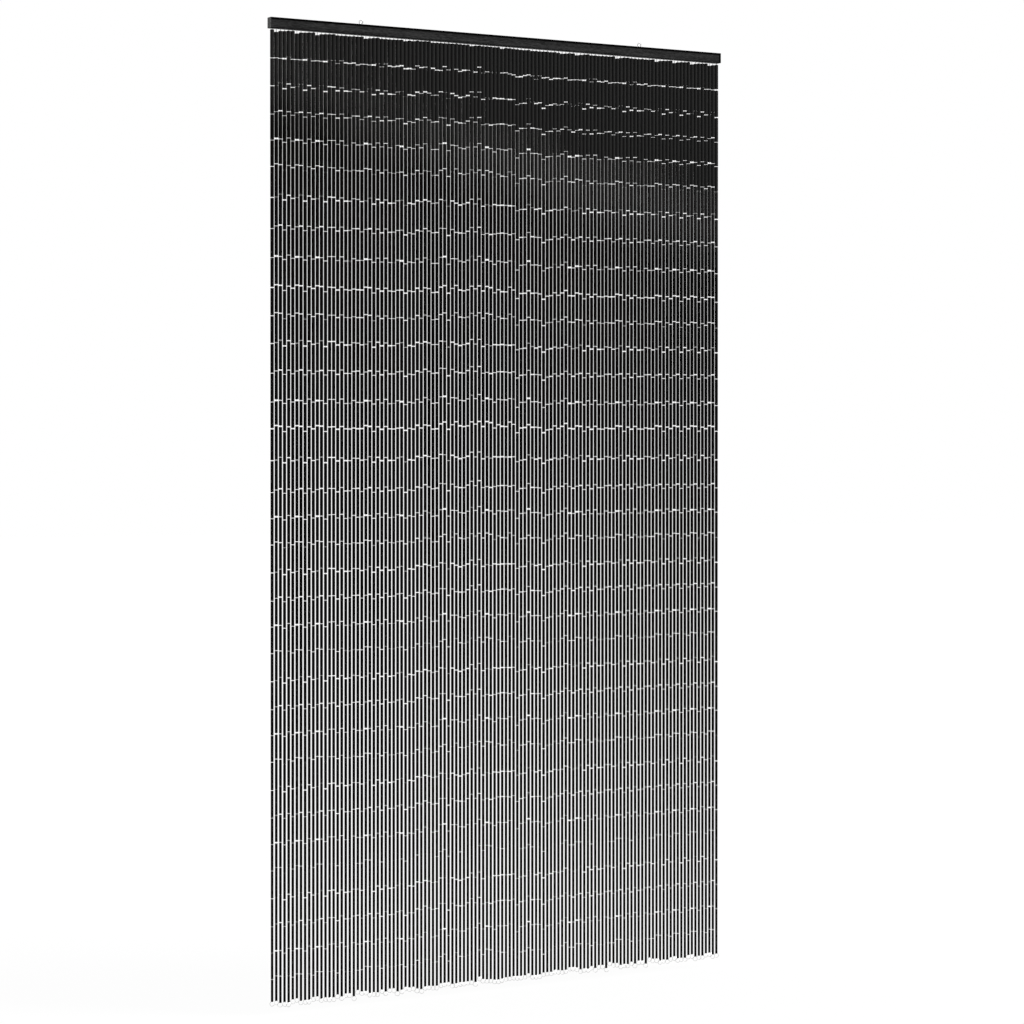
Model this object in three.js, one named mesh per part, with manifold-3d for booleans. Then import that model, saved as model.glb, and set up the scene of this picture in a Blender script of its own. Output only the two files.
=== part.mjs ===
// Bamboo bead door curtain on its wooden head rail, in millimetres, +Z up.
// X runs along the rail, -Y is the side seen first, and the origin is the middle of the rail's top face.
// The strings are tapered square columns hung corner forward, with their roots fused into one strip.
import * as THREE from 'three';
import { mergeVertices } from 'three/addons/utils/BufferGeometryUtils.js';
import Module from 'manifold-3d';

const wasm = await Module();
wasm.setup();

// Clear space between pieces that touch on the real curtain
const SEAT_GAP = 0.3;

// Head rail: a planed batten with softened arrises and a slot along its underside
const RAIL = { length: 1200, depth: 19, height: 24, arris: 1.2, arrisSteps: 3 };
const SLOT = { length: 1192, width: 6.6, depth: 6 };

// Screw eyes: wire rings standing on the rail's top, in the plane of the curtain
const EYE = { outer: 11, wire: 2.2, fromMiddle: 372, shank: 14, ringSteps: 20, wireSteps: 8 };
const BORE_DIAMETER = EYE.wire + 2 * SEAT_GAP;

// Strings: evenly spaced, thick beads above and slender beads below
const STRING_COUNT = 118;
const END_MARGIN = 7;
const STRING_PITCH = (RAIL.length - 2 * END_MARGIN) / (STRING_COUNT - 1);
const COLUMN_END = -2190;
const SHOULDER = 1.2;
const STEM_WIDTH = 1.8;
const STEM_ROOT = 3;
const LOOP_WIDTH = 7;
const LOOP_DROP = 11;

// Bead diameter down the curtain: thick beads under the rail, slender ones at the end
const TAPER = [
  { z: -24, diameter: 9.35 },
  { z: -180, diameter: 9.15 },
  { z: -560, diameter: 8.05 },
  { z: -700, diameter: 8.05 },
  { z: -2190, diameter: 5.75 },
];

// Strings were tied on in bundles that repeat, one row for each string.
// gap: rail to first bead. end: how much lower (+) than COLUMN_END the last bead stops.
const FIVE = [
  { gap: 7, end: -2 },
  { gap: 4.8, end: 4 },
  { gap: 3.8, end: 3 },
  { gap: 2.8, end: 4 },
  { gap: 2.5, end: -1 },
];
const SEVEN = [
  { gap: 4, end: -1 },
  { gap: 4.2, end: 5 },
  { gap: 4, end: -1 },
  { gap: 3.8, end: -1 },
  { gap: 3.8, end: 7.5 },
  { gap: 3.5, end: -5.5 },
  { gap: 2.7, end: -2 },
];
const ELEVEN = [...FIVE.slice(0, 4), ...SEVEN];

// Strings across the middle, re-tied by hand at uneven heights
const MIDDLE = [
  { strings: 1, gap: 2.6, end: 5 },
  { strings: 1, gap: 5.4, end: -1 },
  { strings: 2, gap: 3.5, end: 1 },
  { strings: 1, gap: 2.5, end: 6 },
  { strings: 1, gap: 2.5, end: 8 },
  { strings: 2, gap: 2, end: 3 },
  { strings: 2, gap: 3.5, end: 4 },
  { strings: 2, gap: 3, end: 0 },
  { strings: 1, gap: 3, end: -1 },
  { strings: 2, gap: 2.3, end: 4 },
  { strings: 2, gap: 2.5, end: 2.5 },
  { strings: 1, gap: 2.5, end: 2 },
  { strings: 1, gap: 4.5, end: 2 },
  { strings: 1, gap: 3, end: 6 },
  { strings: 1, gap: 2.5, end: -6 },
  { strings: 1, gap: 2.5, end: 1 },
  { strings: 2, gap: 2.8, end: 3 },
  { strings: 1, gap: 2.8, end: 5 },
  { strings: 1, gap: 2.8, end: 6 },
  { strings: 1, gap: 5, end: 5 },
  { strings: 3, gap: 3, end: 2.5 },
  { strings: 1, gap: 4, end: 3 },
  { strings: 2, gap: 4.2, end: 3 },
  { strings: 1, gap: 3.5, end: 0 },
  { strings: 3, gap: 4.5, end: 5 },
  { strings: 1, gap: 4, end: 2 },
  { strings: 2, gap: 4, end: 1.5 },
  { strings: 1, gap: 3.5, end: -1 },
  { strings: 1, gap: 4.5, end: 0 },
  { strings: 1, gap: 5.5, end: 1 },
  { strings: 1, gap: 5, end: 1 },
  { strings: 2, gap: 3.2, end: -3.5 },
];

// Order along the rail, from the left end
const LEFT = [FIVE.slice(4), FIVE, FIVE, FIVE.slice(0, 4), FIVE.slice(3, 4), SEVEN, ELEVEN.slice(0, 9)];
const CENTRE = MIDDLE.map((row) => Array(row.strings).fill(row));
const RIGHT = [ELEVEN, ELEVEN, FIVE, FIVE, FIVE, FIVE.slice(0, 3)];
const STRINGS = [...LEFT, ...CENTRE, ...RIGHT].flat();

// Small unevenness that differs from string to string
const HEAD_WANDER = 0.3;
const END_WANDER = 0.4;
// Strings grow a little shorter towards the right end, in parts of their length
const SHORTENING = 0.0022;

const COLOURS = { paint: 0x2b2b2b, steel: 0xc9cbcc, lacquer: 0x141414 };

function material(colour, roughness, metalness) {
  return new THREE.MeshStandardMaterial({ color: colour, roughness, metalness });
}

// A closed geometry as a solid that can be joined and cut
function solidOf(geometry) {
  const bare = geometry.index ? geometry.toNonIndexed() : geometry.clone();
  bare.deleteAttribute('normal');
  bare.deleteAttribute('uv');
  const merged = mergeVertices(bare, 1e-4);
  const mesh = new wasm.Mesh({
    numProp: 3,
    vertProperties: new Float32Array(merged.attributes.position.array),
    triVerts: new Uint32Array(merged.index.array),
  });
  return new wasm.Manifold(mesh);
}

function geometryOf(solid) {
  const mesh = solid.getMesh();
  const geometry = new THREE.BufferGeometry();
  geometry.setAttribute('position', new THREE.BufferAttribute(new Float32Array(mesh.vertProperties), 3));
  geometry.setIndex(new THREE.BufferAttribute(new Uint32Array(mesh.triVerts), 1));
  geometry.computeVertexNormals();
  return geometry;
}

// A box given by its lowest and highest corners
function boxBetween(low, high) {
  const size = high.map((value, axis) => value - low[axis]);
  const middle = high.map((value, axis) => (value + low[axis]) / 2);
  return new THREE.BoxGeometry(...size).translate(...middle);
}

// An upright round bar from zLow to zHigh
function uprightBar(diameter, zLow, zHigh, x) {
  const bar = new THREE.CylinderGeometry(diameter / 2, diameter / 2, zHigh - zLow, EYE.wireSteps);
  return bar.rotateX(Math.PI / 2).translate(x, 0, (zLow + zHigh) / 2);
}

// Cross-section of the rail: a rectangle with rounded arrises
function railSection() {
  const halfDepth = RAIL.depth / 2;
  const halfHeight = RAIL.height / 2;
  const corners = [
    { y: halfDepth, z: halfHeight, start: 0 },
    { y: -halfDepth, z: halfHeight, start: Math.PI / 2 },
    { y: -halfDepth, z: -halfHeight, start: Math.PI },
    { y: halfDepth, z: -halfHeight, start: 1.5 * Math.PI },
  ];
  const points = [];
  for (const corner of corners) {
    const centreY = corner.y - Math.sign(corner.y) * RAIL.arris;
    const centreZ = corner.z - Math.sign(corner.z) * RAIL.arris;
    for (let step = 0; step <= RAIL.arrisSteps; step += 1) {
      const angle = corner.start + (step / RAIL.arrisSteps) * (Math.PI / 2);
      points.push(new THREE.Vector2(
        centreY + RAIL.arris * Math.cos(angle),
        centreZ + RAIL.arris * Math.sin(angle),
      ));
    }
  }
  return new THREE.Shape(points);
}

function headRail() {
  const batten = new THREE.ExtrudeGeometry(railSection(), { depth: RAIL.length, bevelEnabled: false });
  // The section's x becomes Y, its y becomes Z, and the extrusion runs along X
  batten.applyMatrix4(new THREE.Matrix4().makeBasis(
    new THREE.Vector3(0, 1, 0),
    new THREE.Vector3(0, 0, 1),
    new THREE.Vector3(1, 0, 0),
  ));
  batten.translate(-RAIL.length / 2, 0, -RAIL.height / 2);
  const slot = boxBetween(
    [-SLOT.length / 2, -SLOT.width / 2, -RAIL.height - 1],
    [SLOT.length / 2, SLOT.width / 2, -RAIL.height + SLOT.depth],
  );
  let solid = solidOf(batten).subtract(solidOf(slot));
  for (const side of [-1, 1]) {
    const bore = uprightBar(BORE_DIAMETER, -EYE.shank - SEAT_GAP, 1, side * EYE.fromMiddle);
    solid = solid.subtract(solidOf(bore));
  }
  return geometryOf(solid);
}

// A ring of wire on a straight shank, resting on the rail
function screwEye(x) {
  const ringRadius = (EYE.outer - EYE.wire) / 2;
  const ringCentre = SEAT_GAP + EYE.outer / 2;
  const ring = new THREE.TorusGeometry(ringRadius, EYE.wire / 2, EYE.wireSteps, EYE.ringSteps);
  ring.rotateX(Math.PI / 2).translate(x, 0, ringCentre);
  const shank = uprightBar(EYE.wire, -EYE.shank, SEAT_GAP + EYE.wire / 2, x);
  return geometryOf(solidOf(ring).add(solidOf(shank)));
}

// An upright square column with its corners on the X and Y axes, through a row of levels from the top
// down. Each level has its height z, its half width across the front and its half depth.
function column(levels, x) {
  const positions = [];
  for (const level of levels) {
    positions.push(x + level.half, 0, level.z);
    positions.push(x, level.deep, level.z);
    positions.push(x - level.half, 0, level.z);
    positions.push(x, -level.deep, level.z);
  }
  const faces = [];
  for (let ring = 0; ring < levels.length - 1; ring += 1) {
    for (let side = 0; side < 4; side += 1) {
      const a = ring * 4 + side;
      const b = ring * 4 + ((side + 1) % 4);
      faces.push(a, a + 4, b + 4, a, b + 4, b);
    }
  }
  const last = (levels.length - 1) * 4;
  faces.push(0, 1, 2, 0, 2, 3);
  faces.push(last, last + 2, last + 1, last, last + 3, last + 2);
  const geometry = new THREE.BufferGeometry();
  geometry.setAttribute('position', new THREE.Float32BufferAttribute(positions, 3));
  geometry.setIndex(faces);
  return geometry;
}

function beadDiameter(z) {
  const below = Math.max(1, TAPER.findIndex((station) => station.z <= z));
  const [from, to] = [TAPER[below - 1], TAPER[below]];
  return THREE.MathUtils.mapLinear(z, from.z, to.z, from.diameter, to.diameter);
}

// One string: wire stem, tapered run of beads, and the flat wire loop at its end
function stringColumn(index, string) {
  const x = (index - (STRING_COUNT - 1) / 2) * STRING_PITCH;
  const reach = 1 - SHORTENING * index / (STRING_COUNT - 1);
  const top = -RAIL.height - string.gap - HEAD_WANDER * Math.sin(2.4 * index);
  const end = COLUMN_END * reach - string.end - END_WANDER * Math.sin(1.7 * index + 1);
  const stem = STEM_WIDTH / 2;
  const between = TAPER.slice(1, -1).map((station) => station.z);
  const beads = [top - SHOULDER, ...between, end + SHOULDER].map((z) => {
    const half = beadDiameter(Math.max(z, COLUMN_END)) / 2;
    return { z, half, deep: half };
  });
  return column([
    { z: -RAIL.height + STEM_ROOT, half: stem, deep: stem },
    { z: top, half: stem, deep: stem },
    ...beads,
    { z: end, half: stem, deep: stem },
    { z: end - LOOP_DROP / 2, half: LOOP_WIDTH / 2, deep: stem },
    { z: end - LOOP_DROP, half: stem, deep: stem },
  ], x);
}

function stringCurtain() {
  const strip = boxBetween(
    [-SLOT.length / 2 + SEAT_GAP, -SLOT.width / 2 + SEAT_GAP, -RAIL.height],
    [SLOT.length / 2 - SEAT_GAP, SLOT.width / 2 - SEAT_GAP, -RAIL.height + SLOT.depth - SEAT_GAP],
  );
  const strings = STRINGS.map((string, index) => solidOf(stringColumn(index, string)));
  return geometryOf(wasm.Manifold.union([solidOf(strip), ...strings]));
}

const curtain = new THREE.Group();

function addPiece(name, geometry, finish) {
  const piece = new THREE.Mesh(geometry, finish);
  piece.name = name;
  curtain.add(piece);
}

addPiece('head_rail', headRail(), material(COLOURS.paint, 0.5, 0));
addPiece('eye_left', screwEye(-EYE.fromMiddle), material(COLOURS.steel, 0.3, 1));
addPiece('eye_right', screwEye(EYE.fromMiddle), material(COLOURS.steel, 0.3, 1));
addPiece('string_curtain', stringCurtain(), material(COLOURS.lacquer, 0.35, 0));

export default curtain;
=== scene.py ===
import math

import bmesh
import bpy
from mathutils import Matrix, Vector


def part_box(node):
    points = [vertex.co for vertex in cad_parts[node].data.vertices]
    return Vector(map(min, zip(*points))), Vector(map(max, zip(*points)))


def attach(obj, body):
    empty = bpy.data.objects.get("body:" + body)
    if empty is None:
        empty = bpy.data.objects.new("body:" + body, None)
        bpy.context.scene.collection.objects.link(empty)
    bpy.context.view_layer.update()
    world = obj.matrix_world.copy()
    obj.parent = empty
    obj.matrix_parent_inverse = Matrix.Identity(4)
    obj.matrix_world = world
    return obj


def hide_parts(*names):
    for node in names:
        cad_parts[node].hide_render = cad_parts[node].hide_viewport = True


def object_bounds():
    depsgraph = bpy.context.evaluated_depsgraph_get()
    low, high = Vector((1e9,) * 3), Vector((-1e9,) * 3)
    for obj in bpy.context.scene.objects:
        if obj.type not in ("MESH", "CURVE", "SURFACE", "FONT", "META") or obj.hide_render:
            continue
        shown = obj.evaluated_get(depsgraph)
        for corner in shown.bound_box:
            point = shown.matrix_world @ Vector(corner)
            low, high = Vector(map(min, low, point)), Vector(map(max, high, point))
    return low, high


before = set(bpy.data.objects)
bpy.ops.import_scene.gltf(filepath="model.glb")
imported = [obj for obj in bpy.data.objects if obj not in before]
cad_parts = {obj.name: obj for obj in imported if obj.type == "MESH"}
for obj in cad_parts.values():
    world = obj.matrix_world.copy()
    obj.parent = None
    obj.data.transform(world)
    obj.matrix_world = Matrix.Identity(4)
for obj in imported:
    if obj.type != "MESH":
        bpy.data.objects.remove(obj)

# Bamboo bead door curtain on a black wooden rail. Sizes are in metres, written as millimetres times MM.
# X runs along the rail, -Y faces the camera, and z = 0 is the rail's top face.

cad_low, cad_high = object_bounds()

MM = 0.001
BODY = "root"
QUARTER = math.pi / 2

# Rail and the slot under it
RAIL_LENGTH = 1200 * MM
RAIL_HEIGHT = 24 * MM
SLOT_LENGTH = 1192 * MM
SLOT_WIDTH = 6.6 * MM
SLOT_DEPTH = 6 * MM
SEAT_GAP = 0.3 * MM
STRIP_ARRIS = 0.5 * MM

# Screw eyes. The shank runs up into the ring by EYE_OVERLAP, and both are fused in steps of EYE_GRAIN.
EYE_OUTER = 11 * MM
EYE_WIRE = 2.2 * MM
EYE_OVERLAP = 0.6 * MM
EYE_GRAIN = 0.22 * MM

# Strings
STRING_COUNT = 118
END_MARGIN = 7 * MM
STRING_PITCH = (RAIL_LENGTH - 2 * END_MARGIN) / (STRING_COUNT - 1)
COLUMN_END = -2190 * MM

# Bead diameter down the curtain, in mm: thick beads under the rail, slender ones at the end
TAPER = (
    {"z": -24, "diameter": 9.4},
    {"z": -120, "diameter": 9.34},
    {"z": -180, "diameter": 9.28},
    {"z": -240, "diameter": 9.08},
    {"z": -300, "diameter": 8.72},
    {"z": -420, "diameter": 8.38},
    {"z": -600, "diameter": 8.12},
    {"z": -750, "diameter": 8},
    {"z": -1300, "diameter": 7.06},
    {"z": -2190, "diameter": 5.75},
)

# Strings were tied on in bundles that repeat. Each row is one string, in mm.
# gap: rail to first bead. first, joint: how much lower (+) its first joint and its other joints sit.
# end: the same for its last bead. sway: the same again for four joints in turn.
# open: clear height of its first joint, and then of four joints in turn.
FIVE = (
    {"gap": 7, "first": 1.4, "joint": 0.5, "end": -2,
     "sway": (-3, 2, 0, 0), "open": (0.8, 0.8, 0.2, 0.5, 2.6)},
    {"gap": 4.8, "first": 1.8, "joint": -1.2, "end": 4,
     "sway": (0, -2.5, -0.5, 2), "open": (0.8, 1, 0.2, 1.7, 0.7)},
    {"gap": 3.8, "first": 1.5, "joint": 8.5, "end": 3,
     "sway": (2, 0.5, 0, -1), "open": (2.2, 0, 1.7, 0.6, 0.8)},
    {"gap": 2.8, "first": -2, "joint": -1.8, "end": 4,
     "sway": (2, -0.5, 0.5, -0.5), "open": (0.2, 0.4, 1.4, 0.8, 0.6)},
    {"gap": 2.5, "first": 2, "joint": 4.3, "end": -1,
     "sway": (0, 0, 2, 0), "open": (0.9, 0.8, 1.1, 0.6, 0.5)},
)
SEVEN = (
    {"gap": 4, "first": 4.2, "joint": 5.7, "end": -1,
     "sway": (0, -0.5, 1, 0), "open": (0.5, 1.1, 1.9, 1.5, 0.5)},
    {"gap": 4.2, "first": -3, "joint": -2.4, "end": 5,
     "sway": (1.5, 1, -0.5, -0.5), "open": (0.5, 0.3, 0.6, 0.5, 0.9)},
    {"gap": 4, "first": 1.4, "joint": 5.2, "end": -1,
     "sway": (-0.5, 0, -0.5, 1.5), "open": (1.5, 0.2, 1.9, 1.1, 0.5)},
    {"gap": 3.8, "first": 2.3, "joint": 4.8, "end": -1,
     "sway": (0.5, 0, -0.5, 1.5), "open": (1.1, 0.2, 0.8, 0.5, 0)},
    {"gap": 3.8, "first": 0, "joint": -0.2, "end": 7.5,
     "sway": (3, -0.5, 0, 0.5), "open": (1.5, 0.2, 0.5, 0.7, 0.6)},
    {"gap": 3.5, "first": 3.7, "joint": 3.2, "end": -5.5,
     "sway": (1, -3, -4, 1), "open": (1.1, 0.7, 0.6, 1.2, 0.7)},
    {"gap": 2.7, "first": 1.8, "joint": 4.2, "end": -2,
     "sway": (0, 0, 2, 0), "open": (0.9, 0.8, 1.2, 0.5, 0.4)},
)
ELEVEN = FIVE[:4] + SEVEN

# Ways in which four joints in turn sway on the middle strings, in mm
LEVEL = (0, 0, 1, 0)
DIP = (-1.5, 2.5, 0.5, -1.5)
LIFT = (2, -2.5, -1.5, 2)
SLIDE = (1.5, 0.5, -1, -1)
JUMP = (-6.5, 4, 4, -1.5)

# Strings across the middle, which hang at uneven heights. open: for the first joint alone, as the others
# take theirs from ELEVEN.
MIDDLE = (
    {"gap": 2.6, "first": -1.5, "joint": 0, "sway": LIFT, "open": 2, "end": 5},
    {"gap": 5.4, "first": 5, "joint": 8.5, "sway": LEVEL, "open": 1.8, "end": -1},
    {"gap": 3.5, "first": 3.5, "joint": 3.5, "sway": LEVEL, "open": 2.2, "end": 1},
    {"gap": 3.5, "first": 4, "joint": 5, "sway": LEVEL, "open": 0.7, "end": 1},
    {"gap": 2.5, "first": -3.5, "joint": -3.5, "sway": LEVEL, "open": 0.9, "end": 6},
    {"gap": 2.5, "first": -0.5, "joint": 1, "sway": LIFT, "open": 1.4, "end": 8},
    {"gap": 2, "first": -2.5, "joint": -6, "sway": SLIDE, "open": 0.8, "end": 3},
    {"gap": 2, "first": -3, "joint": -3, "sway": LEVEL, "open": 0, "end": 3},
    {"gap": 3.5, "first": -0.5, "joint": 3.5, "sway": LIFT, "open": 1.8, "end": 4},
    {"gap": 3.5, "first": 2.5, "joint": 2.5, "sway": LIFT, "open": 1.2, "end": 4},
    {"gap": 3, "first": 2.5, "joint": -8.5, "sway": SLIDE, "open": 1.2, "end": 0},
    {"gap": 3, "first": -6.5, "joint": -9.5, "sway": DIP, "open": 1.3, "end": 0},
    {"gap": 3, "first": 0.5, "joint": 6, "sway": LEVEL, "open": 0.6, "end": -1},
    {"gap": 2.3, "first": -3, "joint": -6.5, "sway": SLIDE, "open": 0, "end": 4},
    {"gap": 2.3, "first": -2.5, "joint": -5.5, "sway": JUMP, "open": 0.9, "end": 4},
    {"gap": 2.5, "first": 2, "joint": -0.5, "sway": DIP, "open": 1.1, "end": 2.5},
    {"gap": 2.5, "first": -1.5, "joint": -0.5, "sway": LEVEL, "open": 2, "end": 2.5},
    {"gap": 2.5, "first": -2.5, "joint": -4, "sway": SLIDE, "open": 0.8, "end": 2},
    {"gap": 4.5, "first": -2.5, "joint": -13, "sway": SLIDE, "open": 0, "end": 2},
    {"gap": 3, "first": 1, "joint": -4.5, "sway": DIP, "open": 1.4, "end": 6},
    {"gap": 2.5, "first": -11.5, "joint": -14, "sway": SLIDE, "open": 1.3, "end": -6},
    {"gap": 2.5, "first": 1.5, "joint": 0.5, "sway": DIP, "open": 0.3, "end": 1},
    {"gap": 2.8, "first": -1.5, "joint": -5.5, "sway": JUMP, "open": 0.8, "end": 3},
    {"gap": 2.8, "first": -2, "joint": -3, "sway": JUMP, "open": 0.3, "end": 3},
    {"gap": 2.8, "first": -1, "joint": 0.5, "sway": LIFT, "open": 0.1, "end": 5},
    {"gap": 2.8, "first": -3, "joint": -3.5, "sway": DIP, "open": 0, "end": 6},
    {"gap": 5, "first": -1.5, "joint": -2.5, "sway": SLIDE, "open": 1, "end": 5},
    {"gap": 3, "first": -3, "joint": -2, "sway": SLIDE, "open": 1, "end": 2.5},
    {"gap": 3, "first": -1, "joint": -5, "sway": JUMP, "open": 0.8, "end": 2.5},
    {"gap": 3, "first": 1, "joint": -4, "sway": DIP, "open": 1.2, "end": 2.5},
    {"gap": 4, "first": 5, "joint": 12, "sway": LIFT, "open": 1.2, "end": 3},
    {"gap": 4.2, "first": 3.5, "joint": 4, "sway": DIP, "open": 2, "end": 3},
    {"gap": 4.2, "first": 0.5, "joint": 3, "sway": DIP, "open": 1.4, "end": 3},
    {"gap": 3.5, "first": -1.5, "joint": -6.5, "sway": SLIDE, "open": 1.3, "end": 0},
    {"gap": 4.5, "first": 0, "joint": 1, "sway": LEVEL, "open": 0.5, "end": 5},
    {"gap": 4.5, "first": 7, "joint": 2, "sway": DIP, "open": 0.4, "end": 5},
    {"gap": 4.5, "first": -1, "joint": 2, "sway": LEVEL, "open": 0.4, "end": 5},
    {"gap": 4, "first": 3, "joint": 14, "sway": LEVEL, "open": 1.5, "end": 2},
    {"gap": 4, "first": 1, "joint": 7, "sway": LEVEL, "open": 1.1, "end": 1.5},
    {"gap": 4, "first": 5, "joint": 5.5, "sway": LEVEL, "open": 1.5, "end": 1.5},
    {"gap": 3.5, "first": 2.5, "joint": -0.5, "sway": DIP, "open": 1.5, "end": -1},
    {"gap": 4.5, "first": 1.5, "joint": 4, "sway": LEVEL, "open": 1.5, "end": 0},
    {"gap": 5.5, "first": 1.5, "joint": 0, "sway": DIP, "open": 0.6, "end": 1},
    {"gap": 5, "first": -0.5, "joint": -6.5, "sway": DIP, "open": 1.2, "end": 1},
    {"gap": 3.2, "first": 3.5, "joint": 2, "sway": LIFT, "open": 1.1, "end": -3.5},
    {"gap": 3.2, "first": 2, "joint": 4.5, "sway": LEVEL, "open": 0.9, "end": -3.5},
)


def middle_strings():
    """The strings of MIDDLE, each with the joint openings that come next in the pattern."""
    return tuple({**string, "open": (string["open"],) + ELEVEN[place % len(ELEVEN)]["open"][1:]}
                 for place, string in enumerate(MIDDLE))


LEFT = (FIVE[4:], FIVE, FIVE, FIVE[:4], FIVE[3:4], SEVEN, ELEVEN[:9])
RIGHT = (ELEVEN, ELEVEN, FIVE, FIVE, FIVE, FIVE[:3])
STRINGS = [string for bundle in LEFT + (middle_strings(),) + RIGHT for string in bundle]

# A string's first bead starts this much below the top of its solid column
HEAD_SETBACK = 0.45 * MM
# Strings grow a little shorter towards the right end, in parts of their length
SHORTENING = 0.0022
# Their joints sit a little higher towards the right end
RISE = 0.7 * MM

# Small unevenness: of the first and last beads' ends, of joints, and of where a string hangs
HEAD_WANDER = 0.3 * MM
END_WANDER = 0.4 * MM
JOINT_WANDER = 0.3 * MM
STRING_WANDER = 0.015 * MM
# The same for single beads: place from front to back, turn about X, Y and Z, and share of the diameter
BEAD_WANDER = 0.04 * MM
BEAD_TILT = (0.001, 0.0004, 0.02)
DIAMETER_WANDER = 0.0015
# Steps that give every joint and every bead its own number in the unevenness
JOINT_SEED = 34
BEAD_SEED = (37, 11)

# Joints down a string, in mm from the rail's top: runs of beads cut alike, from joint to joint.
# wide: extra clear height of the run's first joint.
FIRST_JOINT = 88
RUNS = (
    {"steps": (60, 60.5, 60, 59), "wide": 0},
    {"steps": (68.5, 67, 67, 66.5), "wide": 0.15},
    {"steps": (62.5,), "wide": 1.05},
    {"steps": (62, 64.5, 65.5, 59.5), "wide": 0.15},
    {"steps": (71.5, 68.5, 60, 59), "wide": 1.25},
    {"steps": (62, 60.5, 60, 59), "wide": 0.05},
    {"steps": (62, 60.5, 60, 59), "wide": -0.2},
    {"steps": (62.5, 60, 60.5, 58.5), "wide": 0.1},
    {"steps": (62, 60.5, 60, 59), "wide": -0.35},
    {"steps": (0,), "wide": 0},
)
# Height that the crossed wires take in a joint, on top of its clear height
JOINT_WIRE = 0.5 * MM
# What the tables' clear heights are multiplied by at the top, and how much less it is at the bottom
OPEN_SHARE = 1.5
OPEN_FADE = 0.4

# Bead: a length of bamboo tube, stretched for each place
BEAD_SIDES = 10
BEAD_LENGTH = 57 * MM
BEAD_DIAMETER = 6.7 * MM
BEAD_BORE = 3.4 * MM
BEAD_RIM = 0.35 * MM
BORE_DEPTH = 2.5 * MM
BEAD_TURN = math.radians(-29.7)
# How rubbed the lacquer is at a bead's ends and at its chamfers and bores
END_WEAR = 1.0
EDGE_WEAR = 0.25

# Links between beads: wire, the eye's clear width, and the straight leg of each hook
LINK_WIRE = 0.7 * MM
LINK_INNER = 0.9 * MM
LINK_LEG = 2 * MM
# How far a link is turned from the one on the next string, and from the one above it
LINK_TURN = (1.3, 2.4)

# Top eyes and staples: a top eye is stretched to reach into its bead, a staple stands out of the strip
TOP_WIRE = 0.85 * MM
TOP_INNER = 1.4 * MM
TOP_LEG = 8 * MM
TOP_REACH = 2 * MM
TOP_TURN = 0.3
STAPLE_LEG = 3 * MM
STAPLE_DROP = 1.2 * MM

# End loops: a ring with a neck, tucked up into the last bead, each turned and bent a little its own way
LOOP_WIRE = 1.1 * MM
LOOP_OUTER = 11.2 * MM
LOOP_TUCK = 0.6 * MM
LOOP_TURN = -0.5
LOOP_TILT = (0.05, 0.12, 0.25)
LOOP_STRETCH = (0.08, 0.06)
NECK_DEPTH = 1.4 * MM
NECK_REACH = 2.4 * MM
NECK_SHARE = 0.45
NECK_RISE = 1.2 * MM

# Patterns in the finishes: how fine they are along X, Y and Z
RAIL_GRAIN = (9, 420, 420)
RAIL_STREAKS = (3, 90, 90)
RAIL_PORES = (110, 700, 700)
SAWN_RINGS = (60, 700, 260)
BEAD_FIBRES = (1500, 1500, 30)
WIRE_MARKS = (900, 900, 900)
STRIP_GRAIN = (12, 500, 500)

# Darker bands of painted shade in the rail's paint, and the sawn ends, each from where it starts to where
# it is full:
# along the top, at the right end, at both ends, and along the underside
TOP_BAND = (-6 * MM, -4.8 * MM)
RIGHT_BAND = (RAIL_LENGTH / 2 - 6.6 * MM, RAIL_LENGTH / 2 - 4.4 * MM)
END_BAND = (RAIL_LENGTH / 2 - 3 * MM, RAIL_LENGTH / 2 - 1 * MM)
LOW_BAND = (RAIL_HEIGHT - 2.6 * MM, RAIL_HEIGHT - 1 * MM)
SAWN_BAND = (RAIL_LENGTH / 2 - 0.3 * MM, RAIL_LENGTH / 2 - 0.1 * MM)

# Painted light on the beads near the rail, as a lighter colour: where it starts and is full, and how it
# leans along the curtain
PAINTED_LIGHT_BAND = (-410 * MM, -250 * MM)
PAINTED_LIGHT_LEAN = 0.26

# Surfaces: roughness from their smooth spots to their rough ones, shine, and depth of the relief
RAIL_ROUGH = (0.42, 0.62)
BEAD_ROUGH = (0.36, 0.52)
STRIP_ROUGH = 0.6
LINK_ROUGH = 0.3
EYE_ROUGH = 0.35
WIRE_ROUGH_SPAN = (-0.06, 0.08)
RAIL_SHINE = 0.01
BEAD_SHINE = 0.02
STRIP_SHINE = 0.2
WIRE_METAL = 0.6
RAIL_RELIEF = 0.25 * MM
BEAD_RELIEF = 0.12 * MM
STRIP_RELIEF = 0.2 * MM

# Colours
PAINT_LOW = (0.012, 0.012, 0.012)
PAINT_HIGH = (0.027, 0.027, 0.027)
PORE_OPEN = (0.038, 0.038, 0.038)
PORE_CLOSED = (0.004, 0.004, 0.004)
# Painted shade along the rail's top, ends and underside
PAINT_SHADED = (0.0004, 0.0004, 0.0004)
SAWN_LOW = (0.03, 0.03, 0.03)
SAWN_HIGH = (0.17, 0.17, 0.167)
LACQUER_LOW = (0.0002, 0.0002, 0.0002)
LACQUER_HIGH = (0.0007, 0.0007, 0.0007)
FIBRE_HIGH = (0.0014, 0.0014, 0.0014)
# Painted light on the beads near the rail
BEAD_PAINTED_LIGHT = (0.015, 0.015, 0.015)
BEAD_WORN = (0.014, 0.013, 0.012)
STRIP_LOW = (0.006, 0.006, 0.006)
STRIP_HIGH = (0.02, 0.02, 0.02)
LINK_STEEL = (0.72, 0.72, 0.72)
EYE_STEEL = (0.62, 0.62, 0.62)
# Steel between its drawn marks, against the steel above
MARK_SHARE = 0.88

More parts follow.
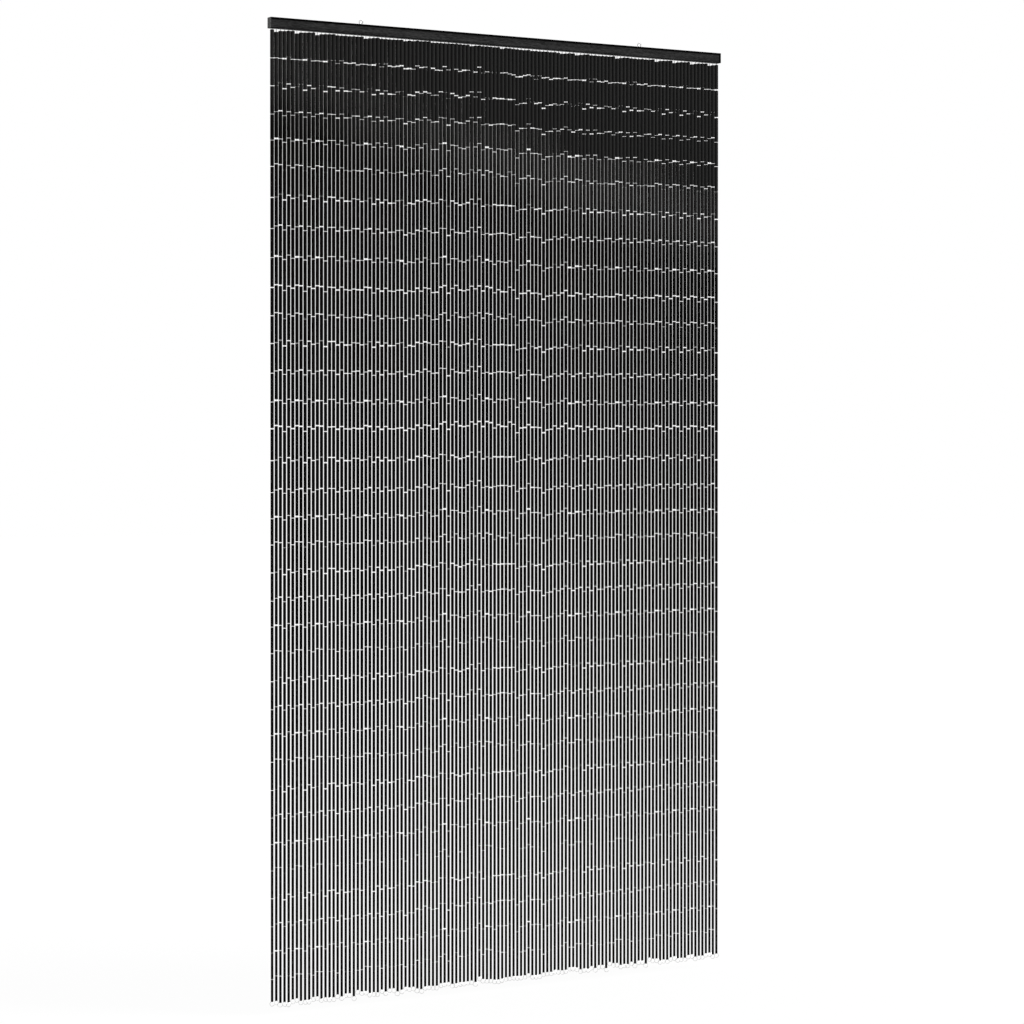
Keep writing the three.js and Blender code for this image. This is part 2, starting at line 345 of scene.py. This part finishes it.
# Floor, room and lamp. The room's strength goes from wall to ceiling between two heights of view.
FLOOR_SIZE = 60
FLOOR_DROP = 12 * MM
FLOOR_TONE = (0.03, 0.03, 0.03, 1)
FLOOR_GLOW = 0.96
WHITE = (1, 1, 1, 1)
ROOM_HEIGHTS = (0.1, 0.9)
WALL_STRENGTH = 0.18
CEILING_STRENGTH = 1.2
SUN_STRENGTH = 4
SUN_SPREAD = math.radians(25)
SUN_TURN = (math.radians(60), 0, math.radians(55))

# Modelling: the sharpest bend that is smoothed on flat-sided and on round shapes, how close points are
# welded, and how square to an axis a face has to be
FLAT_BEND = math.radians(40)
ROUND_BEND = math.radians(60)
WELD = 1e-6
SQUARE_ON = 0.9

# The photograph's view: a level camera left of the curtain, with the horizon above the middle row
IMAGE_SIZE = 1024
FOCAL_PIXELS = 2841
HORIZON_ROW = 441.5
SENSOR = 36
CAMERA_PLACE = (-3.2603, -5.7531, -0.9433)
CAMERA_TURN = math.radians(29.70)
VIEW_REACH = 200


# Modelling helpers

def start(name):
    """Names the primitive just added and opens it for editing."""
    made = bpy.context.active_object
    made.name = name
    made.data.name = name
    bpy.ops.object.mode_set(mode="EDIT")
    return made


def add_alone():
    """Closes editing and deselects everything before a new primitive."""
    if bpy.context.object and bpy.context.object.mode != "OBJECT":
        bpy.ops.object.mode_set(mode="OBJECT")
    bpy.ops.object.select_all(action="DESELECT")


def stop():
    """Closes editing."""
    bpy.ops.object.mode_set(mode="OBJECT")


def choose(made):
    """Selects one piece alone."""
    add_alone()
    made.select_set(True)
    bpy.context.view_layer.objects.active = made


def pick(kind, test):
    """Selects the vertices, edges or faces of the open mesh that pass the test."""
    bpy.ops.mesh.select_mode(type=kind)
    bpy.ops.mesh.select_all(action="DESELECT")
    mesh = bmesh.from_edit_mesh(bpy.context.edit_object.data)
    items = {"VERT": mesh.verts, "EDGE": mesh.edges, "FACE": mesh.faces}[kind]
    for item in items:
        if test(item):
            item.select_set(True)
    mesh.select_flush_mode()
    bmesh.update_edit_mesh(bpy.context.edit_object.data)


def push(x=0, y=0, z=0):
    """Extrudes the selected face along a straight line."""
    bpy.ops.mesh.extrude_region_move(TRANSFORM_OT_translate={"value": (x, y, z)})


def face_outwards():
    """Welds the open mesh and turns its faces outwards."""
    bpy.ops.mesh.select_all(action="SELECT")
    bpy.ops.mesh.remove_doubles(threshold=WELD)
    bpy.ops.mesh.normals_make_consistent(inside=False)


def smooth(made, angle=FLAT_BEND):
    """Smooths the bends up to an angle and keeps the sharper ones."""
    choose(made)
    bpy.ops.object.shade_smooth_by_angle(angle=angle)


def apply_modifier(made, modifier):
    choose(made)
    bpy.ops.object.modifier_apply(modifier=modifier.name)


def join(pieces, name):
    """Makes one piece of several."""
    add_alone()
    for piece in pieces:
        piece.select_set(True)
    bpy.context.view_layer.objects.active = pieces[0]
    bpy.ops.object.join()
    pieces[0].name = name
    return pieces[0]


def settle(made):
    """Puts a piece's place and turn into its mesh."""
    choose(made)
    bpy.ops.object.transform_apply(location=True, rotation=True, scale=True)
    return made


def dress(made, finish, node):
    """Gives a piece its material, hides the part it stands for, and attaches it to the body."""
    made.data.materials.clear()
    made.data.materials.append(finish)
    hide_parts(node)
    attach(made, BODY)
    return made


# Material helpers

class Finish:
    """A node material with short calls for the patterns that the pieces share."""

    def __init__(self, name):
        self.material = bpy.data.materials.new(name)
        self.material.use_nodes = True
        self.tree = self.material.node_tree
        self.shader = self.tree.nodes["Principled BSDF"]

    def node(self, kind, **settings):
        made = self.tree.nodes.new(kind)
        for key, value in settings.items():
            setattr(made, key, value)
        return made

    def link(self, source, target):
        self.tree.links.new(source, target)

    def feed(self, socket, value):
        if isinstance(value, bpy.types.NodeSocket):
            self.link(value, socket)
        else:
            socket.default_value = value

    def place(self, stretch):
        """Object coordinates, multiplied along each axis."""
        coordinates = self.node("ShaderNodeTexCoord")
        mapping = self.node("ShaderNodeMapping")
        mapping.inputs["Scale"].default_value = stretch
        self.link(coordinates.outputs["Object"], mapping.inputs["Vector"])
        return mapping.outputs["Vector"]

    def noise(self, vector, detail=3.0, roughness=0.55):
        made = self.node("ShaderNodeTexNoise")
        made.inputs["Scale"].default_value = 1.0
        made.inputs["Detail"].default_value = detail
        made.inputs["Roughness"].default_value = roughness
        self.link(vector, made.inputs["Vector"])
        return made.outputs["Fac"]

    def math(self, operation, first, second=0.0):
        made = self.node("ShaderNodeMath", operation=operation)
        self.feed(made.inputs[0], first)
        self.feed(made.inputs[1], second)
        return made.outputs[0]

    def spread(self, value, low, high, to_low=0.0, to_high=1.0):
        made = self.node("ShaderNodeMapRange", interpolation_type="SMOOTHSTEP")
        self.feed(made.inputs["Value"], value)
        made.inputs["From Min"].default_value = low
        made.inputs["From Max"].default_value = high
        made.inputs["To Min"].default_value = to_low
        made.inputs["To Max"].default_value = to_high
        return made.outputs["Result"]

    def mix(self, share, first, second):
        made = self.node("ShaderNodeMix", data_type="RGBA")
        self.feed(made.inputs["Factor"], share)
        for socket, value in ((made.inputs["A"], first), (made.inputs["B"], second)):
            self.feed(socket, value if isinstance(value, bpy.types.NodeSocket) else (*value, 1.0))
        return made.outputs["Result"]

    def attribute(self, name):
        return self.node("ShaderNodeAttribute", attribute_name=name).outputs["Fac"]

    def axes(self):
        """Object coordinates as three separate values."""
        coordinates = self.node("ShaderNodeTexCoord")
        parts = self.node("ShaderNodeSeparateXYZ")
        self.link(coordinates.outputs["Object"], parts.inputs["Vector"])
        return parts.outputs["X"], parts.outputs["Y"], parts.outputs["Z"]

    def bump(self, height, strength, distance):
        made = self.node("ShaderNodeBump")
        made.inputs["Strength"].default_value = strength
        made.inputs["Distance"].default_value = distance
        self.link(height, made.inputs["Height"])
        self.link(made.outputs["Normal"], self.shader.inputs["Normal"])


# Finishes

def rail_paint():
    """Thin satin black paint over straight wood grain, with painted shade darkening it along its edges, and
    greyer sawn ends.
    """
    finish = Finish("rail paint")
    grain = finish.noise(finish.place(RAIL_GRAIN), 4.0)
    broad = finish.noise(finish.place(RAIL_STREAKS), 2.0)
    streak = finish.math("MULTIPLY", grain, broad)
    face = finish.mix(finish.spread(streak, 0.14, 0.4), PAINT_LOW, PAINT_HIGH)
    pores = finish.noise(finish.place(RAIL_PORES), 2.0)
    open_pores = finish.spread(pores, 0.5, 0.72, 0, 0.7)
    face = finish.mix(open_pores, face, PORE_OPEN)
    closed_pores = finish.spread(pores, 0.28, 0.5, 0.8, 0)
    face = finish.mix(closed_pores, face, PORE_CLOSED)
    x, _, z = finish.axes()
    from_middle = finish.math("ABSOLUTE", x)
    below_top = finish.math("MULTIPLY", z, -1)
    # Painted shade: the paint is darkened along the top, at the right end, at both ends and along the
    # underside
    top = finish.spread(z, *TOP_BAND)
    right = finish.spread(x, *RIGHT_BAND)
    ends = finish.spread(from_middle, *END_BAND, 0, 0.5)
    under = finish.spread(below_top, *LOW_BAND, 0, 0.6)
    sides = finish.math("MAXIMUM", right, ends)
    painted_shade = finish.math("MAXIMUM", finish.math("MAXIMUM", top, sides), under)
    painted = finish.mix(painted_shade, face, PAINT_SHADED)
    rings = finish.noise(finish.place(SAWN_RINGS), 3.0)
    sawn = finish.mix(finish.spread(rings, 0.35, 0.65), SAWN_LOW, SAWN_HIGH)
    cut = finish.spread(from_middle, *SAWN_BAND)
    finish.link(finish.mix(cut, painted, sawn), finish.shader.inputs["Base Color"])
    finish.link(finish.spread(grain, 0.3, 0.7, *RAIL_ROUGH), finish.shader.inputs["Roughness"])
    finish.shader.inputs["Specular IOR Level"].default_value = RAIL_SHINE
    finish.bump(grain, 0.35, RAIL_RELIEF)
    return finish.material


def bead_lacquer():
    """Black lacquer over bamboo fibres, with painted light that makes it lighter near the rail, and rubbed
    at the cut rims.
    """
    finish = Finish("bead lacquer")
    fibre = finish.noise(finish.place(BEAD_FIBRES), 3.0)
    fresh = finish.mix(finish.attribute("shade"), LACQUER_LOW, LACQUER_HIGH)
    streaked = finish.mix(finish.spread(fibre, 0.45, 0.75), fresh, FIBRE_HIGH)
    x, _, z = finish.axes()
    # Painted light: the lacquer is made lighter near the rail, leaning along the curtain
    height = finish.math("ADD", z, finish.math("MULTIPLY", x, PAINTED_LIGHT_LEAN))
    lit_near_rail = finish.mix(finish.spread(height, *PAINTED_LIGHT_BAND), streaked, BEAD_PAINTED_LIGHT)
    worn = finish.math("MULTIPLY", finish.attribute("rim"), finish.spread(fibre, 0.35, 0.6))
    finish.link(finish.mix(worn, lit_near_rail, BEAD_WORN), finish.shader.inputs["Base Color"])
    finish.link(finish.spread(fibre, 0.3, 0.7, *BEAD_ROUGH), finish.shader.inputs["Roughness"])
    finish.shader.inputs["Specular IOR Level"].default_value = BEAD_SHINE
    finish.bump(fibre, 0.3, BEAD_RELIEF)
    return finish.material


def bright_wire(name, tone, roughness):
    """Zinc-plated steel wire with faint marks from drawing."""
    finish = Finish(name)
    drawn = finish.noise(finish.place(WIRE_MARKS), 2.0)
    low = tuple(part * MARK_SHARE for part in tone)
    finish.link(finish.mix(drawn, low, tone), finish.shader.inputs["Base Color"])
    span = [roughness + change for change in WIRE_ROUGH_SPAN]
    finish.link(finish.spread(drawn, 0.3, 0.7, *span), finish.shader.inputs["Roughness"])
    finish.shader.inputs["Metallic"].default_value = WIRE_METAL
    return finish.material


def strip_paint():
    """Matt black paint on the narrow strip in the rail's slot."""
    finish = Finish("strip paint")
    grain = finish.noise(finish.place(STRIP_GRAIN), 3.0)
    finish.link(finish.mix(grain, STRIP_LOW, STRIP_HIGH), finish.shader.inputs["Base Color"])
    finish.shader.inputs["Roughness"].default_value = STRIP_ROUGH
    finish.shader.inputs["Specular IOR Level"].default_value = STRIP_SHINE
    finish.bump(grain, 0.3, STRIP_RELIEF)
    return finish.material


# Where the beads go

def wave(index, rate, phase=0.0):
    """A number from -1 to 1 for each index, the same every run. Each rate gives another row of them."""
    return math.sin(rate * index + phase)


def string_x(index):
    return (index - (STRING_COUNT - 1) / 2) * STRING_PITCH


def bead_diameter(z):
    for above, below in zip(TAPER, TAPER[1:]):
        if z >= below["z"] * MM:
            break
    share = min(max((z / MM - above["z"]) / (below["z"] - above["z"]), 0), 1)
    return (above["diameter"] + (below["diameter"] - above["diameter"]) * share) * MM


def joint_rows():
    """Rows of joints from the top down: height, turn in the pattern of four, and extra clear height."""
    rows = []
    z = -FIRST_JOINT
    for run in RUNS:
        for turn, step in enumerate(run["steps"]):
            rows.append({"z": z * MM, "turn": turn, "wide": 0 if turn else run["wide"] * MM})
            z -= step
    return rows


def reach(index):
    """Length of a string against the leftmost one."""
    return 1 - SHORTENING * index / (STRING_COUNT - 1)


def string_ends(index):
    """Heights of a string's first bead's top and of its last bead's foot."""
    string = STRINGS[index]
    top = -RAIL_HEIGHT - string["gap"] * MM - HEAD_SETBACK - HEAD_WANDER * wave(index, 2.4)
    end = COLUMN_END * reach(index) - string["end"] * MM - END_WANDER * wave(index, 1.7, 1.0)
    return top, end


def string_joints(index, rows):
    """One string's joints. The first follows its row, the others hang as the string was tied."""
    string = STRINGS[index]
    rise = RISE * index / (STRING_COUNT - 1)
    joints = []
    for step, row in enumerate(rows):
        lower = string["joint"] + string["sway"][row["turn"]]
        opening = string["open"][1 + row["turn"]]
        if step == 0:
            lower = string["first"]
            opening = string["open"][0]
        wander = JOINT_WANDER * wave(index * JOINT_SEED + step, 1.9)
        z = row["z"] * reach(index) + rise - lower * MM + wander
        share = OPEN_SHARE - OPEN_FADE * step / len(rows)
        joints.append({"z": z, "clear": opening * share * MM + row["wide"] + JOINT_WIRE})
    return joints


def string_place(index):
    return string_x(index) + STRING_WANDER * wave(index, 3.3)


def wire_place(at, turn, stretch=(1, 1, 1)):
    """Where one piece of wire goes, with the even shade that all wire has."""
    return {"at": at, "turn": turn, "stretch": stretch, "shade": 0.5}


def string_parts(index, rows):
    """Beads and links of one string, each with its place, turn, stretch and shade."""
    joints = string_joints(index, rows)
    top, end = string_ends(index)
    heads = [top] + [joint["z"] - joint["clear"] / 2 for joint in joints]
    feet = [joint["z"] + joint["clear"] / 2 for joint in joints] + [end]
    x = string_place(index)
    beads = []
    for step, (head, foot) in enumerate(zip(heads, feet)):
        seed = index * BEAD_SEED[0] + step * BEAD_SEED[1]
        middle = (head + foot) / 2
        wide = bead_diameter(middle) / BEAD_DIAMETER * (1 + DIAMETER_WANDER * wave(seed, 1.9))
        beads.append({
            "at": (x, BEAD_WANDER * wave(seed, 2.7), middle),
            "turn": (
                BEAD_TILT[0] * wave(seed, 3.1),
                BEAD_TILT[1] * wave(seed, 2.3),
                BEAD_TURN + BEAD_TILT[2] * wave(seed, 1.3),
            ),
            "stretch": (wide, wide, (head - foot) / BEAD_LENGTH),
            "shade": 0.5 + 0.5 * wave(seed, 5.3),
        })
    links = []
    for step, joint in enumerate(joints):
        turn = index * LINK_TURN[0] + step * LINK_TURN[1]
        links.append(wire_place((x, 0, joint["z"]), (0, 0, turn)))
    return beads, links


# Repeated shapes, modelled once

def bead_shape():
    """One bamboo tube with chamfered rims and a bore at each end."""
    add_alone()
    bpy.ops.mesh.primitive_cylinder_add(
        vertices=BEAD_SIDES, radius=BEAD_DIAMETER / 2, depth=BEAD_LENGTH - 2 * BEAD_RIM)
    bead = start("bead")
    half = BEAD_LENGTH / 2
    rim_share = 1 - 2 * BEAD_RIM / BEAD_DIAMETER
    for side in (1, -1):
        pick("FACE", lambda face: face.normal.z * side > SQUARE_ON)
        push(z=BEAD_RIM * side)
        bpy.ops.transform.resize(value=(rim_share, rim_share, 1))
        bpy.ops.mesh.inset(thickness=(BEAD_DIAMETER - BEAD_BORE) / 2 - BEAD_RIM)
        bpy.ops.mesh.poke(offset=-BORE_DEPTH)
    face_outwards()
    stop()
    smooth(bead)
    rim = bead.data.attributes.new("rim", "FLOAT", "POINT")
    for vert in bead.data.vertices:
        from_end = half - abs(vert.co.z)
        if from_end < BEAD_RIM / 2:
            rim.data[vert.index].value = END_WEAR
        elif from_end < BEAD_RIM * 1.5 or vert.co.xy.length < BEAD_BORE / 2:
            rim.data[vert.index].value = EDGE_WEAR
    return bead


def wire_bend(name, inner, wire, leg, sides=3, steps=4):
    """A U of wire: legs up to z = leg, and the bend's middle line lowest at minus its radius."""
    radius = (inner + wire) / 2
    add_alone()
    bpy.ops.mesh.primitive_circle_add(
        vertices=sides, radius=wire / 2, fill_type="NGON", location=(-radius, 0, leg))
    bend = start(name)
    bpy.ops.mesh.select_all(action="SELECT")
    push(z=-leg)
    bpy.ops.mesh.spin(steps=steps, angle=math.pi, center=(0, 0, 0), axis=(0, -1, 0))
    push(z=leg)
    face_outwards()
    stop()
    smooth(bend, ROUND_BEND)
    return settle(bend)


def link_shape():
    """Two hooked wire eyes, one from the bead above and one from the bead below."""
    radius = (LINK_INNER + LINK_WIRE) / 2
    upper = wire_bend("upper eye", LINK_INNER, LINK_WIRE, LINK_LEG)
    lower = wire_bend("lower eye", LINK_INNER, LINK_WIRE, LINK_LEG)
    upper.location = (0, 0, radius - LINK_WIRE / 2)
    lower.rotation_euler = (math.pi, 0, QUARTER)
    lower.location = (0, 0, -radius + LINK_WIRE / 2)
    settle(upper)
    settle(lower)
    return join([upper, lower], "link")


def hanger_shape():
    """The top eye of a string, an upside-down U that is stretched to each string's gap."""
    hanger = wire_bend("hanger", TOP_INNER, TOP_WIRE, TOP_LEG, sides=5, steps=6)
    hanger.rotation_euler = (math.pi, 0, QUARTER)
    return settle(hanger)


def staple_shape():
    """The staple in the strip that one string hangs on."""
    return wire_bend("staple", TOP_INNER, TOP_WIRE, STAPLE_LEG, sides=5, steps=6)


def loop_shape():
    """The ring that the wire's lower end is bent into, with a neck drawn up into the last bead."""
    add_alone()
    bpy.ops.mesh.primitive_torus_add(
        major_segments=16, minor_segments=5, major_radius=(LOOP_OUTER - LOOP_WIRE) / 2,
        minor_radius=LOOP_WIRE / 2, rotation=(QUARTER, 0, 0), location=(0, 0, -LOOP_OUTER / 2))
    settle(bpy.context.active_object)
    loop = start("loop")
    pick("VERT", lambda vert: vert.co.z > -NECK_DEPTH and abs(vert.co.x) < NECK_REACH)
    bpy.ops.transform.resize(value=(NECK_SHARE, 1, 1))
    bpy.ops.transform.translate(value=(0, 0, NECK_RISE))
    face_outwards()
    stop()
    smooth(loop, ROUND_BEND)
    return loop


# Many copies of one shape, made real

def copies_tree(shape):
    """Geometry nodes that put the shape on every point by its own turn and stretch."""
    tree = bpy.data.node_groups.new("copies of " + shape.name, "GeometryNodeTree")
    tree.interface.new_socket("Geometry", in_out="INPUT", socket_type="NodeSocketGeometry")
    tree.interface.new_socket("Geometry", in_out="OUTPUT", socket_type="NodeSocketGeometry")
    points = tree.nodes.new("NodeGroupInput")
    result = tree.nodes.new("NodeGroupOutput")
    source = tree.nodes.new("GeometryNodeObjectInfo")
    source.inputs["Object"].default_value = shape
    put = tree.nodes.new("GeometryNodeInstanceOnPoints")
    turn = tree.nodes.new("GeometryNodeInputNamedAttribute")
    turn.data_type = "FLOAT_VECTOR"
    turn.inputs["Name"].default_value = "turn"
    stretch = tree.nodes.new("GeometryNodeInputNamedAttribute")
    stretch.data_type = "FLOAT_VECTOR"
    stretch.inputs["Name"].default_value = "stretch"
    angles = tree.nodes.new("FunctionNodeEulerToRotation")
    real = tree.nodes.new("GeometryNodeRealizeInstances")
    tree.links.new(points.outputs["Geometry"], put.inputs["Points"])
    tree.links.new(source.outputs["Geometry"], put.inputs["Instance"])
    tree.links.new(turn.outputs["Attribute"], angles.inputs["Euler"])
    tree.links.new(angles.outputs["Rotation"], put.inputs["Rotation"])
    tree.links.new(stretch.outputs["Attribute"], put.inputs["Scale"])
    tree.links.new(put.outputs["Instances"], real.inputs["Geometry"])
    tree.links.new(real.outputs["Geometry"], result.inputs["Geometry"])
    return tree


def copies(name, tree, places):
    """One mesh with a copy of the tree's shape at every place."""
    mesh = bpy.data.meshes.new(name)
    mesh.from_pydata([place["at"] for place in places], [], [])
    for key in ("turn", "stretch"):
        values = mesh.attributes.new(key, "FLOAT_VECTOR", "POINT")
        for item, place in zip(values.data, places):
            item.vector = place[key]
    shades = mesh.attributes.new("shade", "FLOAT", "POINT")
    for item, place in zip(shades.data, places):
        item.value = place["shade"]
    made = bpy.data.objects.new(name, mesh)
    bpy.context.collection.objects.link(made)
    modifier = made.modifiers.new("copies", "NODES")
    modifier.node_group = tree
    apply_modifier(made, modifier)
    for key in ("turn", "stretch"):
        if key in made.data.attributes:
            made.data.attributes.remove(made.data.attributes[key])
    return made


def drop_shape(shape):
    """Removes a shape once its copies are made."""
    bpy.data.objects.remove(shape, do_unlink=True)


# Pieces of the curtain

BEAD_GROUPS = (
    {"name": "left", "first": 0, "last": 30},
    {"name": "left_middle", "first": 30, "last": 59},
    {"name": "right_middle", "first": 59, "last": 88},
    {"name": "right", "first": 88, "last": 118},
)


def paint_rail(paint):
    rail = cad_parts["head_rail"]
    rail.data.materials.clear()
    rail.data.materials.append(paint)


def hang_strings(lacquer, wire):
    """All beads and the wire links between them, in four groups across the curtain."""
    rows = joint_rows()
    bead = bead_shape()
    link = link_shape()
    bead_tree = copies_tree(bead)
    link_tree = copies_tree(link)
    for group in BEAD_GROUPS:
        beads, links = [], []
        for index in range(group["first"], group["last"]):
            string_beads, string_links = string_parts(index, rows)
            beads += string_beads
            links += string_links
        dress(copies("beads_" + group["name"], bead_tree, beads), lacquer,
              "string_curtain")
        dress(copies("links_" + group["name"], link_tree, links), wire,
              "string_curtain")
    drop_shape(bead)
    drop_shape(link)


def hang_heads(wire):
    """The staples in the strip and the top eye of every string."""
    hanger = hanger_shape()
    staple = staple_shape()
    radius = (TOP_INNER + TOP_WIRE) / 2
    staple_low = -RAIL_HEIGHT - STAPLE_DROP
    arch = staple_low + TOP_WIRE / 2
    staples, hangers = [], []
    for index in range(STRING_COUNT):
        x = string_place(index)
        top, _ = string_ends(index)
        turn = (0, 0, TOP_TURN * wave(index, 2.9))
        staples.append(wire_place((x, 0, staple_low + radius - TOP_WIRE / 2), turn))
        length = (arch - top + TOP_REACH) / (TOP_LEG + radius)
        hangers.append(wire_place((x, 0, arch - radius * length), turn, (1, 1, length)))
    dress(copies("staples", copies_tree(staple), staples), wire, "string_curtain")
    dress(copies("top_eyes", copies_tree(hanger), hangers), wire, "string_curtain")
    drop_shape(hanger)
    drop_shape(staple)


def hang_loops(wire):
    """The wire loop at the foot of every string, each turned its own way."""
    loop = loop_shape()
    places = []
    for index in range(STRING_COUNT):
        x = string_place(index)
        _, end = string_ends(index)
        turn = (
            LOOP_TILT[0] * wave(index, 2.2),
            LOOP_TILT[1] * wave(index, 3.7),
            LOOP_TURN + LOOP_TILT[2] * wave(index, 1.3),
        )
        stretch = (1 + LOOP_STRETCH[0] * wave(index, 4.1), 1, 1 + LOOP_STRETCH[1] * wave(index, 5.1))
        places.append(wire_place((x, 0, end + LOOP_TUCK), turn, stretch))
    dress(copies("end_loops", copies_tree(loop), places), wire, "string_curtain")
    drop_shape(loop)


def lay_strip(paint):
    """The narrow painted strip in the rail's slot, with its arrises taken off."""
    add_alone()
    bpy.ops.mesh.primitive_cube_add(size=1)
    strip = start("string_strip")
    bpy.ops.transform.resize(value=(
        SLOT_LENGTH - 2 * SEAT_GAP, SLOT_WIDTH - 2 * SEAT_GAP, SLOT_DEPTH - SEAT_GAP))
    bpy.ops.transform.translate(value=(0, 0, -RAIL_HEIGHT + (SLOT_DEPTH - SEAT_GAP) / 2))
    pick("EDGE", lambda edge: abs(edge.verts[0].co.x - edge.verts[1].co.x) > SLOT_LENGTH / 2)
    bpy.ops.mesh.bevel(offset=STRIP_ARRIS, segments=2)
    face_outwards()
    stop()
    smooth(strip)
    return dress(strip, paint, "string_curtain")


def screw_eye(side, node, wire):
    """A ring of thick wire fused to its shank."""
    low, high = (Vector(corner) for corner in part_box(node))
    x = (low.x + high.x) / 2
    ring_middle = high.z - EYE_OUTER / 2
    add_alone()
    bpy.ops.mesh.primitive_torus_add(
        major_segments=48, minor_segments=16, major_radius=(EYE_OUTER - EYE_WIRE) / 2,
        minor_radius=EYE_WIRE / 2, rotation=(QUARTER, 0, 0), location=(x, 0, ring_middle))
    ring = settle(bpy.context.active_object)
    add_alone()
    shank_top = high.z - EYE_OUTER + EYE_OVERLAP
    bpy.ops.mesh.primitive_cylinder_add(
        vertices=20, radius=EYE_WIRE / 2, depth=shank_top - low.z,
        location=(x, 0, (low.z + shank_top) / 2))
    shank = settle(bpy.context.active_object)
    eye = join([ring, shank], "screw_eye_" + side)
    remesh = eye.modifiers.new("fuse", "REMESH")
    remesh.mode = "VOXEL"
    remesh.voxel_size = EYE_GRAIN
    apply_modifier(eye, remesh)
    soften = eye.modifiers.new("soften", "SMOOTH")
    soften.factor = 0.5
    soften.iterations = 4
    apply_modifier(eye, soften)
    smooth(eye, ROUND_BEND)
    return dress(eye, wire, node)


# Room, lights and camera

def lay_floor():
    """A large floor just under the loops. It glows nearly white by itself, so shadows on it stay faint."""
    add_alone()
    bpy.ops.mesh.primitive_plane_add(size=FLOOR_SIZE, location=(0, 0, cad_low.z - FLOOR_DROP))
    floor = bpy.context.active_object
    floor.name = "floor"
    finish = Finish("floor white")
    finish.shader.inputs["Base Color"].default_value = FLOOR_TONE
    finish.shader.inputs["Roughness"].default_value = 0.9
    finish.shader.inputs["Specular IOR Level"].default_value = 0.0
    finish.shader.inputs["Emission Color"].default_value = WHITE
    finish.shader.inputs["Emission Strength"].default_value = FLOOR_GLOW
    floor.data.materials.append(finish.material)


def light_room():
    """A room that looks white to the camera, but lights the curtain with a bright ceiling and dim walls."""
    world = bpy.data.worlds.new("studio")
    bpy.context.scene.world = world
    world.use_nodes = True
    nodes, links = world.node_tree.nodes, world.node_tree.links
    back = nodes["Background"]
    back.inputs["Color"].default_value = WHITE
    direction = nodes.new("ShaderNodeTexCoord")
    parts = nodes.new("ShaderNodeSeparateXYZ")
    height = nodes.new("ShaderNodeMapRange")
    height.inputs["From Min"].default_value = ROOM_HEIGHTS[0]
    height.inputs["From Max"].default_value = ROOM_HEIGHTS[1]
    height.inputs["To Min"].default_value = WALL_STRENGTH
    height.inputs["To Max"].default_value = CEILING_STRENGTH
    path = nodes.new("ShaderNodeLightPath")
    strength = nodes.new("ShaderNodeMapRange")
    strength.inputs["To Max"].default_value = 1.0
    links.new(direction.outputs["Generated"], parts.inputs["Vector"])
    links.new(parts.outputs["Z"], height.inputs["Value"])
    links.new(height.outputs["Result"], strength.inputs["To Min"])
    links.new(path.outputs["Is Camera Ray"], strength.inputs["Value"])
    links.new(strength.outputs["Result"], back.inputs["Strength"])


def hang_lamp():
    """A wide soft lamp from the right front."""
    sun = bpy.data.lights.new("wide sun", "SUN")
    sun.energy = SUN_STRENGTH
    sun.angle = SUN_SPREAD
    lamp = bpy.data.objects.new("wide sun", sun)
    lamp.rotation_euler = SUN_TURN
    bpy.context.collection.objects.link(lamp)


def set_camera():
    """The photograph's camera, kept level and shifted to frame the curtain."""
    data = bpy.data.cameras.new("camera")
    data.sensor_width = SENSOR
    data.lens = SENSOR * FOCAL_PIXELS / IMAGE_SIZE
    data.shift_y = (HORIZON_ROW - IMAGE_SIZE / 2) / IMAGE_SIZE
    data.clip_end = VIEW_REACH
    camera = bpy.data.objects.new("camera", data)
    camera.location = CAMERA_PLACE
    camera.rotation_euler = (QUARTER, 0, -CAMERA_TURN)
    bpy.context.collection.objects.link(camera)
    bpy.context.scene.camera = camera
    bpy.context.scene.view_settings.view_transform = "Standard"


paint_rail(rail_paint())
bead_black = bead_lacquer()
link_wire = bright_wire("link wire", LINK_STEEL, LINK_ROUGH)
eye_wire = bright_wire("eye wire", EYE_STEEL, EYE_ROUGH)
hang_strings(bead_black, link_wire)
hang_heads(link_wire)
hang_loops(link_wire)
lay_strip(strip_paint())
screw_eye("left", "eye_left", eye_wire)
screw_eye("right", "eye_right", eye_wire)
lay_floor()
light_room()
hang_lamp()
set_camera()
